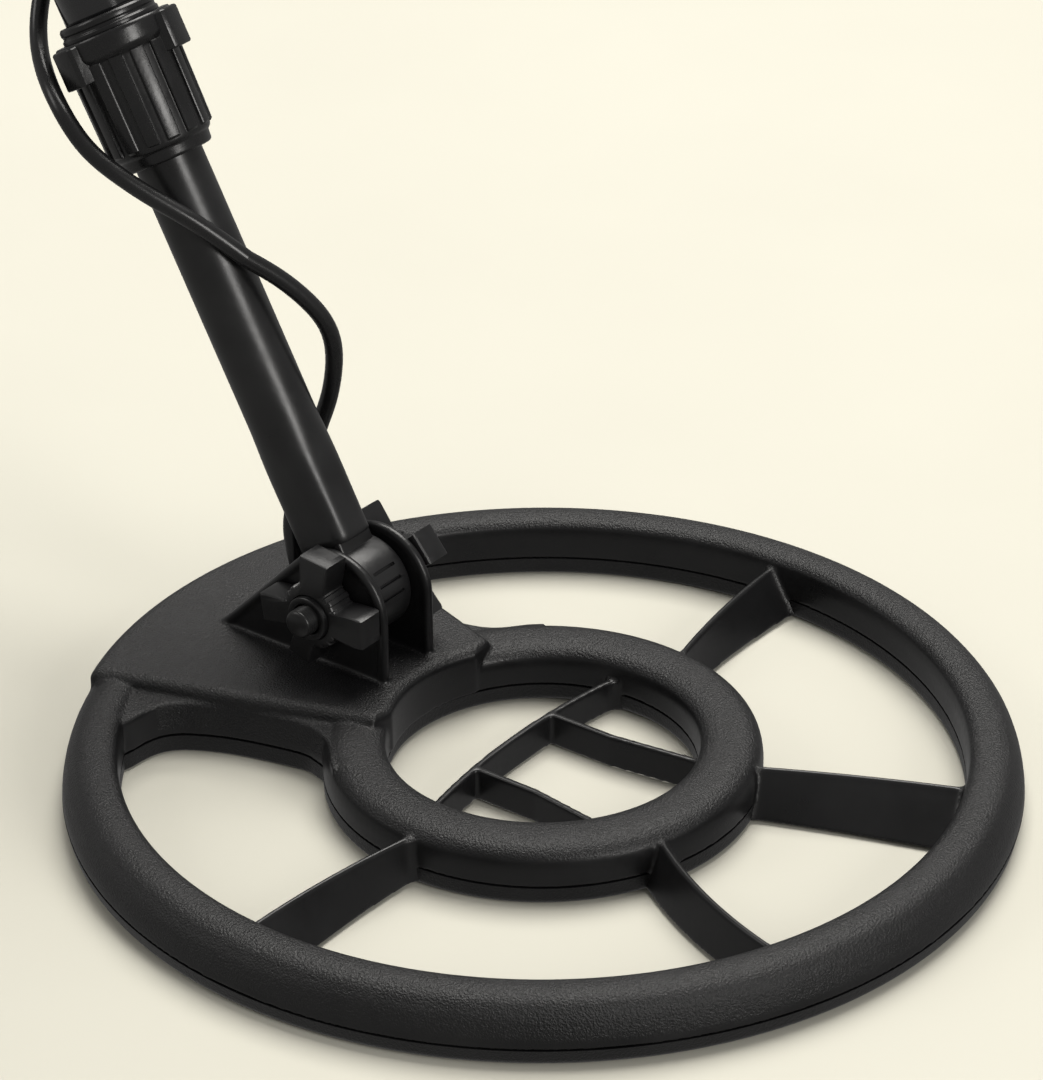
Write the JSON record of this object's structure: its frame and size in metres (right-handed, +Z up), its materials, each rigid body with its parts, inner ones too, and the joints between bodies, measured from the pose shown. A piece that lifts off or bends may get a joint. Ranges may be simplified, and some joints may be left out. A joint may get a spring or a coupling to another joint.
{
  "type": "metal detector",
  "caption": "Black ground-search metal detector: open ring coil on a tilting yoke, telescoping twist-lock shaft with spiral cable, S-shaped handle, control box and arm cuff.",
  "frame": {"origin": "on the search coil's flat underside, straight below the axis on which the coil tilts", "axes": "+X forwards, away from the user, across the coil; +Z up, square to the coil's underside; +Y to the user's left, along the tilt axis; the shaft leans back towards -X as it rises"},
  "size_m": [0.6082, 0.254, 0.9925],
  "materials": {
    "textured_coil_plastic": "fine grained moulding",
    "satin_black_plastic": "satin",
    "filled_black_plastic": "satin, slightly uneven",
    "black_anodised_tube": "glossy",
    "case_plastic": "fine spark texture",
    "display_window": "clear, smoked",
    "lcd_glass": "grey-green",
    "circuit_board": "solder mask",
    "speaker": "paper and steel",
    "battery_jacket": "smooth",
    "steel": "zinc plated",
    "copper": "enamelled",
    "rubber": "matte",
    "cable_jacket": "satin",
    "grip_foam": "closed-cell foam, matte",
    "webbing": "woven"
  },
  "bodies": {
    "root": {"middle_tube": "black_anodised_tube", "lower_collet": "filled_black_plastic", "upper_collet": "filled_black_plastic", "upper_tube": "black_anodised_tube", "button_leaf_spring": "steel", "handle_foam_grip": "grip_foam", "tube_end_plug": "rubber", "box_bracket": "filled_black_plastic", "bracket_screw_left": "steel", "bracket_screw_right": "steel", "box_rear_shell": "case_plastic", "box_front_shell": "case_plastic", "display_window": "display_window", "lcd_panel": "lcd_glass", "circuit_board": "circuit_board", "speaker": "speaker", "battery_left": "battery_jacket", "battery_right": "battery_jacket", "case_screw_a": "steel", "case_screw_b": "steel", "case_screw_c": "steel", "case_screw_d": "steel", "headphone_socket": "filled_black_plastic", "cable_socket": "filled_black_plastic", "cable_plug": "filled_black_plastic", "coil_cable_shaft": "cable_jacket", "cable_strap_lower": "webbing", "cable_strap_upper": "webbing"},
    "lower_rod": {"lower_rod": "satin_black_plastic", "rod_knuckle": "satin_black_plastic", "friction_washer_near": "rubber", "friction_washer_far": "rubber", "coil_cable_tail": "cable_jacket"},
    "coil": {"coil_top_shell": "textured_coil_plastic", "coil_base_cover": "textured_coil_plastic", "transmit_winding": "copper", "receive_winding": "copper", "cable_gland": "satin_black_plastic"},
    "pivot_bolt": {"pivot_bolt": "satin_black_plastic"},
    "wing_nut": {"wing_nut": "satin_black_plastic"},
    "lower_lock_nut": {"lower_lock_nut": "filled_black_plastic"},
    "upper_lock_nut": {"upper_lock_nut": "filled_black_plastic"},
    "spring_button": {"spring_button": "steel"},
    "power_button": {"power_button": "rubber"},
    "mode_button": {"mode_button": "rubber"},
    "pinpoint_button": {"pinpoint_button": "rubber"},
    "minus_button": {"minus_button": "rubber"},
    "plus_button": {"plus_button": "rubber"},
    "battery_door": {"battery_door": "case_plastic"},
    "socket_cover": {"socket_cover": "rubber"},
    "plug_ring": {"plug_ring": "filled_black_plastic"},
    "arm_cuff": {"arm_cuff": "filled_black_plastic", "arm_cuff_pad": "grip_foam", "arm_strap": "webbing", "cuff_bolt": "steel", "cuff_nut": "steel", "stand_foot": "filled_black_plastic"}
  },
  "joints": [
    {"name": "lower_rod_slide", "type": "slide", "parent": "root", "child": "lower_rod", "axis": [0.4756, 0, -0.8796], "range_m": [0, 0.3], "deforming": ["coil_cable_shaft"]},
    {"name": "coil_tilt", "type": "hinge", "parent": "lower_rod", "child": "coil", "pos_m": [0, 0, 0.0384], "axis": [0, 1, 0], "range_deg": [-100, 40], "deforming": ["coil_cable_tail"]},
    {"name": "pivot_bolt_turn", "type": "hinge", "parent": "coil", "child": "pivot_bolt", "pos_m": [0, 0, 0.0384], "axis": [0, 1, 0], "continuous": true},
    {"name": "wing_nut_turn", "type": "hinge", "parent": "coil", "child": "wing_nut", "pos_m": [0, 0, 0.0384], "axis": [0, 1, 0], "continuous": true},
    {"name": "lower_lock_turn", "type": "hinge", "parent": "root", "child": "lower_lock_nut", "pos_m": [0, 0, 0.0384], "axis": [-0.4756, 0, 0.8796], "range_deg": [0, 120]},
    {"name": "upper_lock_turn", "type": "hinge", "parent": "root", "child": "upper_lock_nut", "pos_m": [0, 0, 0.0384], "axis": [-0.4756, 0, 0.8796], "range_deg": [0, 120]},
    {"name": "spring_button_press", "type": "slide", "parent": "root", "child": "spring_button", "axis": [0, 1, 0], "range_m": [0, 0.0038], "stiffness_N_per_m": 1500, "deforming": ["button_leaf_spring"]},
    {"name": "power_button_press", "type": "slide", "parent": "root", "child": "power_button", "axis": [-0.2011, 0, -0.9796], "range_m": [0, 0.0012], "stiffness_N_per_m": 800},
    {"name": "mode_button_press", "type": "slide", "parent": "root", "child": "mode_button", "axis": [-0.2011, 0, -0.9796], "range_m": [0, 0.0012], "stiffness_N_per_m": 800},
    {"name": "pinpoint_button_press", "type": "slide", "parent": "root", "child": "pinpoint_button", "axis": [-0.2011, 0, -0.9796], "range_m": [0, 0.0012], "stiffness_N_per_m": 800},
    {"name": "minus_button_press", "type": "slide", "parent": "root", "child": "minus_button", "axis": [-0.2011, 0, -0.9796], "range_m": [0, 0.0012], "stiffness_N_per_m": 800},
    {"name": "plus_button_press", "type": "slide", "parent": "root", "child": "plus_button", "axis": [-0.2011, 0, -0.9796], "range_m": [0, 0.0012], "stiffness_N_per_m": 800},
    {"name": "battery_door_hinge", "type": "hinge", "parent": "root", "child": "battery_door", "pos_m": [-0.19444, 0, 0.6913], "axis": [0, 1, 0], "range_deg": [0, 100]},
    {"name": "socket_cover_hinge", "type": "hinge", "parent": "root", "child": "socket_cover", "pos_m": [-0.12429, -0.0524, 0.69486], "axis": [0.2011, 0, 0.9796], "range_deg": [0, 120]},
    {"name": "plug_ring_turn", "type": "hinge", "parent": "root", "child": "plug_ring", "pos_m": [-0.19874, -0.033, 0.71015], "axis": [-0.9796, 0, 0.2011], "continuous": true},
    {"name": "arm_cuff_slide", "type": "slide", "parent": "root", "child": "arm_cuff", "axis": [-0.6871, 0, 0.7266], "range_m": [-0.025, 0.025]}
  ]
}
